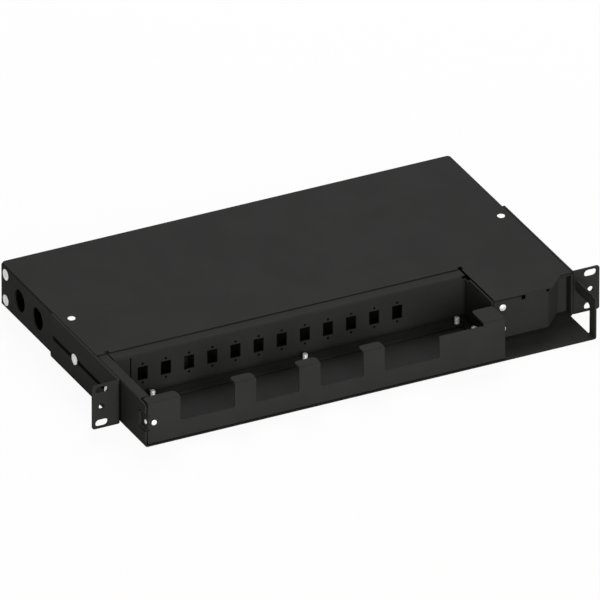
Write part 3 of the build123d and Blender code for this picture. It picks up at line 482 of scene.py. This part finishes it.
def recess_cutter(span, blade, depth):
    """Tapered bar that cuts one slot of a cross recess, with its top above the head's crown."""
    bpy.ops.mesh.primitive_cube_add(size=1, scale=(span, blade, 2 * depth))
    cutter = bpy.context.active_object
    edit(cutter)
    pick(cutter, faces_down)
    bpy.ops.transform.resize(value=RECESS_FOOT, center_override=(0, 0, -depth))
    close()
    return cutter


def cut_recess(screw, head_d, head_h):
    """Cut the cross recess into a screw's head."""
    fasteners = bpy.context.scene.drawer_fasteners
    for turn in RECESS_TURNS:
        cutter = recess_cutter(head_d * fasteners.recess_span, head_d * fasteners.recess_blade,
                               head_h * fasteners.recess_depth)
        cutter.rotation_euler.z = math.radians(turn)
        take(screw)
        recess = screw.modifiers.new("Recess", "BOOLEAN")
        recess.object = cutter
        recess.operation = "DIFFERENCE"
        recess.solver = "EXACT"
        bpy.ops.object.modifier_apply(modifier=recess.name)
        bpy.data.objects.remove(cutter)


def pan_screw(name, head_d, head_h, shank_d, length):
    """Pan-head screw with a cross recess. Its crown is at the origin and its shank points down."""
    fasteners = bpy.context.scene.drawer_fasteners
    deselect()
    bpy.ops.mesh.primitive_circle_add(vertices=SCREW_SIDES, radius=head_d / 2, fill_type="NGON",
                                      location=(0, 0, -head_h))
    screw = bpy.context.active_object
    screw.name = name
    take(screw)
    bpy.ops.object.transform_apply(location=True, rotation=True, scale=True)
    edit(screw)
    bpy.ops.mesh.select_all(action="SELECT")
    crown = head_h * fasteners.crown
    raise_faces(head_h - crown)
    sphere = ((head_d / 2) ** 2 + crown ** 2) / (2 * crown)
    last_r, last_z = head_d / 2, 0.0
    for step in range(1, fasteners.rings + 1):
        radius = head_d / 2 * math.cos(math.pi / 2 * step / (fasteners.rings + 0.5))
        height = crown - sphere + math.sqrt(sphere ** 2 - radius ** 2)
        bpy.ops.mesh.inset(thickness=last_r - radius, depth=height - last_z, use_even_offset=False)
        last_r, last_z = radius, height
    pick(screw, faces_down)
    bpy.ops.mesh.inset(thickness=(head_d - shank_d) / 2, depth=0)
    tip = shank_d * SCREW_TIP
    raise_faces(tip - length)
    raise_faces(-tip)
    bpy.ops.transform.resize(value=(SCREW_TIP_WIDTH, SCREW_TIP_WIDTH, 1),
                             center_override=(0, 0, -head_h - length))
    face_outwards()
    close()
    cut_recess(screw, head_d, head_h)
    bevel(screw, head_h * SCREW_ROUNDING, angle=40)
    return screw


def head_radius(node, facing):
    """Radius of a node's screw heads, read from its box."""
    low, high = corners_of(node)
    return min(high[i] - low[i] for i in range(3) if not facing[i]) / 2


def head_spots(node, facing, radius):
    """Crown points of a node's screws. Its box holds one head, or two at its ends where it is longer."""
    low, high = corners_of(node)
    ways = []
    for i in range(3):
        if facing[i]:
            ways.append([high[i] if facing[i] > 0 else low[i]])
        elif high[i] - low[i] > 3 * radius:
            ways.append([low[i] + radius, high[i] - radius])
        else:
            ways.append([(low[i] + high[i]) / 2])
    return [Vector(spot) for spot in itertools.product(*ways)]


def threaded_stud(name, diameter, height):
    """Stud with thread rings and a chamfered tip. Its foot is at the origin."""
    fasteners = bpy.context.scene.drawer_fasteners
    deselect()
    bpy.ops.mesh.primitive_circle_add(vertices=STUD_SIDES, radius=diameter / 2, fill_type="NGON")
    stud = bpy.context.active_object
    stud.name = name
    edit(stud)
    bpy.ops.mesh.select_all(action="SELECT")
    raise_faces(STUD_FOOT)
    rings = int((height - STUD_FOOT) / fasteners.pitch)
    step = (height - STUD_FOOT) / rings / 2
    groove = 1 - 2 * fasteners.thread / diameter
    for ring in range(rings):
        raise_faces(step)
        bpy.ops.transform.resize(value=(groove, groove, 1), center_override=(0, 0, 0))
        raise_faces(step)
        if ring < rings - 1:
            bpy.ops.transform.resize(value=(1 / groove, 1 / groove, 1), center_override=(0, 0, 0))
    face_outwards()
    close()
    bevel(stud, STUD_ROUNDING, segments=1, angle=30)
    return stud


# Pieces

class DRAWER_OT_brackets(bpy.types.Operator):
    """Coat the two slotted brackets that carry the rack ears"""
    bl_idname = "drawer.brackets"
    bl_label = "Rack Brackets"

    def execute(self, context):
        for side in ("left", "right"):
            coated(f"bracket_{side}", f"rack_bracket_{side}", RACK)
        return {"FINISHED"}


class DRAWER_OT_body(bpy.types.Operator):
    """Coat the folded body and its rear panel"""
    bl_idname = "drawer.body"
    bl_label = "Body"

    def execute(self, context):
        coated("base_shell", "folded_body")
        coated("rear_panel", "rear_closure")
        return {"FINISHED"}


class DRAWER_OT_cover(bpy.types.Operator):
    """Coat the cover and the side wall of the box under it"""
    bl_idname = "drawer.cover"
    bl_label = "Cover and Box"

    def execute(self, context):
        coated("cover", "cover_sheet")
        coated("box_side_wall", "box_wall")
        return {"FINISHED"}


class DRAWER_OT_adapter_plate(bpy.types.Operator):
    """Coat the plate with the adapter ports"""
    bl_idname = "drawer.adapter_plate"
    bl_label = "Adapter Plate"

    def execute(self, context):
        coated("adapter_plate", "port_plate")
        return {"FINISHED"}


class DRAWER_OT_guard(bpy.types.Operator):
    """Coat the fingered guard and finish the block at its left corner"""
    bl_idname = "drawer.guard"
    bl_label = "Front Guard"

    def execute(self, context):
        coated("front_guard", "fingered_guard")
        plain("guard_corner_block", "black_plastic")
        return {"FINISHED"}


class DRAWER_OT_screws(bpy.types.Operator):
    """Model the pan-head screws"""
    bl_idname = "drawer.screws"
    bl_label = "Screws"

    def execute(self, context):
        for node, (ways, head_h, shank_d, length) in SCREWS.items():
            radius = head_radius(node, ways[0])
            pattern = pan_screw(f"{node}_pattern", 2 * radius, head_h * MM, shank_d * MM, length * MM)
            spots = [(spot, facing) for facing in ways for spot in head_spots(node, facing, radius)]
            for count, (spot, facing) in enumerate(spots, 1):
                screw = copy_to(pattern, f"{node}_{count}", spot, facing)
                settle(screw, DRAWER, "zinc_plated_steel", node)
            bpy.data.objects.remove(pattern)
        return {"FINISHED"}


class DRAWER_OT_studs(bpy.types.Operator):
    """Model the threaded studs of the adapter plate and of the cassette"""
    bl_idname = "drawer.studs"
    bl_label = "Studs"

    def execute(self, context):
        low, high = corners_of("plate_studs")
        radius = (high.y - low.y) / 2
        ends = low.x + radius, high.x - radius
        row = ends[0], sum(ends) / 2, ends[1]
        self.model("plate_studs", [(f"plate_stud_{i + 1}", x) for i, x in enumerate(row)])
        low, high = corners_of("cassette_stud")
        self.model("cassette_stud", [("splice_tray_stud", (low.x + high.x) / 2)])
        return {"FINISHED"}

    def model(self, node, studs):
        """Model the studs of a node, each with its name and its place along X."""
        low, high = corners_of(node)
        pattern = threaded_stud(f"{node}_pattern", high.y - low.y, high.z - low.z)
        for name, x in studs:
            stud = copy_to(pattern, name, Vector((x, (low.y + high.y) / 2, low.z)), UP)
            settle(stud, DRAWER, "zinc_plated_steel", node)
        bpy.data.objects.remove(pattern)


class DRAWER_OT_nuts(bpy.types.Operator):
    """Finish the press nuts and the rivets"""
    bl_idname = "drawer.nuts"
    bl_label = "Press Nuts and Rivets"

    def execute(self, context):
        for node in ("guide_nuts", "cover_nuts", "apron_nuts", "rear_panel_nuts", "guard_rivets"):
            plain(node, "zinc_plated_steel")
        return {"FINISHED"}


class DRAWER_OT_cassette(bpy.types.Operator):
    """Finish the splice cassette, its lid, its combs and its nut"""
    bl_idname = "drawer.cassette"
    bl_label = "Splice Cassette"

    def execute(self, context):
        coated("splice_cassette", "splice_tray", slot="grey_plastic", radius=FINE_EDGE)
        coated("splice_combs", "splice_holders", slot="white_plastic", radius=FINE_EDGE)
        coated("splice_cassette_lid", "splice_tray_lid", slot="clear_plastic", radius=FINE_EDGE)
        coated("cassette_nut", "splice_tray_nut", slot="black_plastic", radius=SOFT_EDGE)
        return {"FINISHED"}


class DRAWER_OT_routing(bpy.types.Operator):
    """Finish the fibre guides and the cable tie bridges"""
    bl_idname = "drawer.routing"
    bl_label = "Cable Routing"

    def execute(self, context):
        coated("fibre_guides", "fibre_clips", slot="black_plastic", radius=SOFT_EDGE)
        coated("cable_tie_bridges", "tie_bridges", slot="zinc_plated_steel", radius=FINE_EDGE)
        return {"FINISHED"}


# Stage

def look_from(azimuth, elevation, distance, target):
    """Place on a sphere round the target, and the turn that looks at it."""
    back = Vector((math.sin(azimuth) * math.cos(elevation), -math.cos(azimuth) * math.cos(elevation),
                   math.sin(elevation)))
    place = Vector(target) + back * distance
    return place, (-back).to_track_quat("-Z", "Y").to_euler()


def area_lamp(name, power, target):
    """Round soft lamp that points at the target."""
    width, azimuth, elevation, colour = LAMPS[name]
    place, turn = look_from(math.radians(azimuth), math.radians(elevation), LAMP_DISTANCE, target)
    bpy.ops.object.light_add(type="AREA", location=place, rotation=turn)
    lamp = bpy.context.active_object
    lamp.name = name
    lamp.data.shape = "DISK"
    lamp.data.size = width
    lamp.data.energy = power
    lamp.data.color = colour


def seen_rays(nodes, links, share):
    """Share for camera, glossy and transmission rays, and nothing for the rest."""
    path = nodes.new("ShaderNodeLightPath")
    both = nodes.new("ShaderNodeMath")
    links.new(path.outputs["Is Camera Ray"], both.inputs[0])
    links.new(path.outputs["Is Glossy Ray"], both.inputs[1])
    every = nodes.new("ShaderNodeMath")
    every.use_clamp = True
    links.new(both.outputs["Value"], every.inputs[0])
    links.new(path.outputs["Is Transmission Ray"], every.inputs[1])
    part = nodes.new("ShaderNodeMath")
    part.operation = "MULTIPLY"
    part.inputs[1].default_value = share
    links.new(every.outputs["Value"], part.inputs[0])
    return part.outputs["Value"]


def floor_paint(stage):
    """Pale floor that looks nearly white to the camera and keeps the shadow."""
    material, shader = new_material("floor_paint")
    shader.inputs["Roughness"].default_value = 0.9
    fine = noise(material, 20 * MM, 1.0)
    light = [min(1.0, 1.02 * c) for c in stage.floor]
    link(material, ramp(material, fine, stage.floor, light), shader.inputs["Base Color"])
    glow = add_node(material, "ShaderNodeEmission", Color=(1, 1, 1, 1), Strength=1.0)
    mix = add_node(material, "ShaderNodeMixShader")
    tree = material.node_tree
    link(material, seen_rays(tree.nodes, tree.links, stage.floor_glow), mix.inputs["Fac"])
    link(material, shader.outputs["BSDF"], mix.inputs[1])
    link(material, glow.outputs["Emission"], mix.inputs[2])
    link(material, mix.outputs["Shader"], tree.nodes["Material Output"].inputs["Surface"])
    return material


def studio_world(scene, stage):
    """White where it is seen, and a soft light for the object."""
    world = bpy.data.worlds.new("studio")
    scene.world = world
    world.use_nodes = True
    nodes, links = world.node_tree.nodes, world.node_tree.links
    soft = nodes["Background"]
    soft.inputs["Color"].default_value = (*stage.world_colour, 1)
    soft.inputs["Strength"].default_value = stage.world
    white = nodes.new("ShaderNodeBackground")
    white.inputs["Color"].default_value = (1, 1, 1, 1)
    mix = nodes.new("ShaderNodeMixShader")
    links.new(seen_rays(nodes, links, 1.0), mix.inputs["Fac"])
    links.new(soft.outputs["Background"], mix.inputs[1])
    links.new(white.outputs["Background"], mix.inputs[2])
    links.new(mix.outputs["Shader"], nodes["World Output"].inputs["Surface"])


class DRAWER_OT_stage(bpy.types.Operator):
    """Add the camera, the pale floor and the soft lamps"""
    bl_idname = "drawer.stage"
    bl_label = "Stage"

    def execute(self, context):
        scene = context.scene
        stage = scene.drawer_stage
        distance = stage.view_width * stage.lens / SENSOR_WIDTH
        place, turn = look_from(stage.azimuth, stage.elevation, distance, stage.target)
        bpy.ops.object.camera_add(location=place, rotation=turn)
        camera = context.active_object
        camera.name = "photo_camera"
        camera.data.lens = stage.lens
        camera.data.sensor_width = SENSOR_WIDTH
        camera.data.clip_start = 1.0
        camera.data.clip_end = 100.0
        scene.camera = camera
        bpy.ops.mesh.primitive_plane_add(size=FLOOR_SIZE, location=(0, 0, CAD_BOX[0][2]))
        floor = context.active_object
        floor.name = "floor"
        floor.data.materials.append(floor_paint(stage))
        area_lamp("top_lamp", stage.top_power, stage.target)
        area_lamp("front_lamp", stage.front_power, stage.target)
        studio_world(scene, stage)
        scene.view_settings.view_transform = "Standard"
        return {"FINISHED"}


class DRAWER_PT_panel(bpy.types.Panel):
    """Sizes and steps of the patch drawer's looks"""
    bl_idname = "DRAWER_PT_panel"
    bl_label = "Patch Drawer"
    bl_space_type = "VIEW_3D"
    bl_region_type = "UI"
    bl_category = "Patch Drawer"

    def draw(self, context):
        scene = context.scene
        for group in (scene.drawer_coat, scene.drawer_fasteners, scene.drawer_stage):
            column = self.layout.column()
            for name in group.__annotations__:
                column.prop(group, name)
        for step in STEPS:
            self.layout.operator(step.bl_idname)


STEPS = [DRAWER_OT_stage, DRAWER_OT_brackets, DRAWER_OT_body, DRAWER_OT_cover, DRAWER_OT_adapter_plate,
         DRAWER_OT_guard, DRAWER_OT_screws, DRAWER_OT_studs, DRAWER_OT_nuts, DRAWER_OT_cassette,
         DRAWER_OT_routing]
CLASSES = [CoatSettings, FastenerSettings, StageSettings, *STEPS, DRAWER_PT_panel]


def register():
    for item in CLASSES:
        bpy.utils.register_class(item)
    bpy.types.Scene.drawer_coat = PointerProperty(type=CoatSettings)
    bpy.types.Scene.drawer_fasteners = PointerProperty(type=FastenerSettings)
    bpy.types.Scene.drawer_stage = PointerProperty(type=StageSettings)


def unregister():
    del bpy.types.Scene.drawer_stage
    del bpy.types.Scene.drawer_fasteners
    del bpy.types.Scene.drawer_coat
    for item in reversed(CLASSES):
        bpy.utils.unregister_class(item)


def main():
    register()
    bpy.ops.drawer.stage()
    bpy.ops.drawer.brackets()
    bpy.ops.drawer.body()
    bpy.ops.drawer.cover()
    bpy.ops.drawer.adapter_plate()
    bpy.ops.drawer.guard()
    bpy.ops.drawer.screws()
    bpy.ops.drawer.studs()
    bpy.ops.drawer.nuts()
    bpy.ops.drawer.cassette()
    bpy.ops.drawer.routing()


if __name__ == "__main__":
    main()
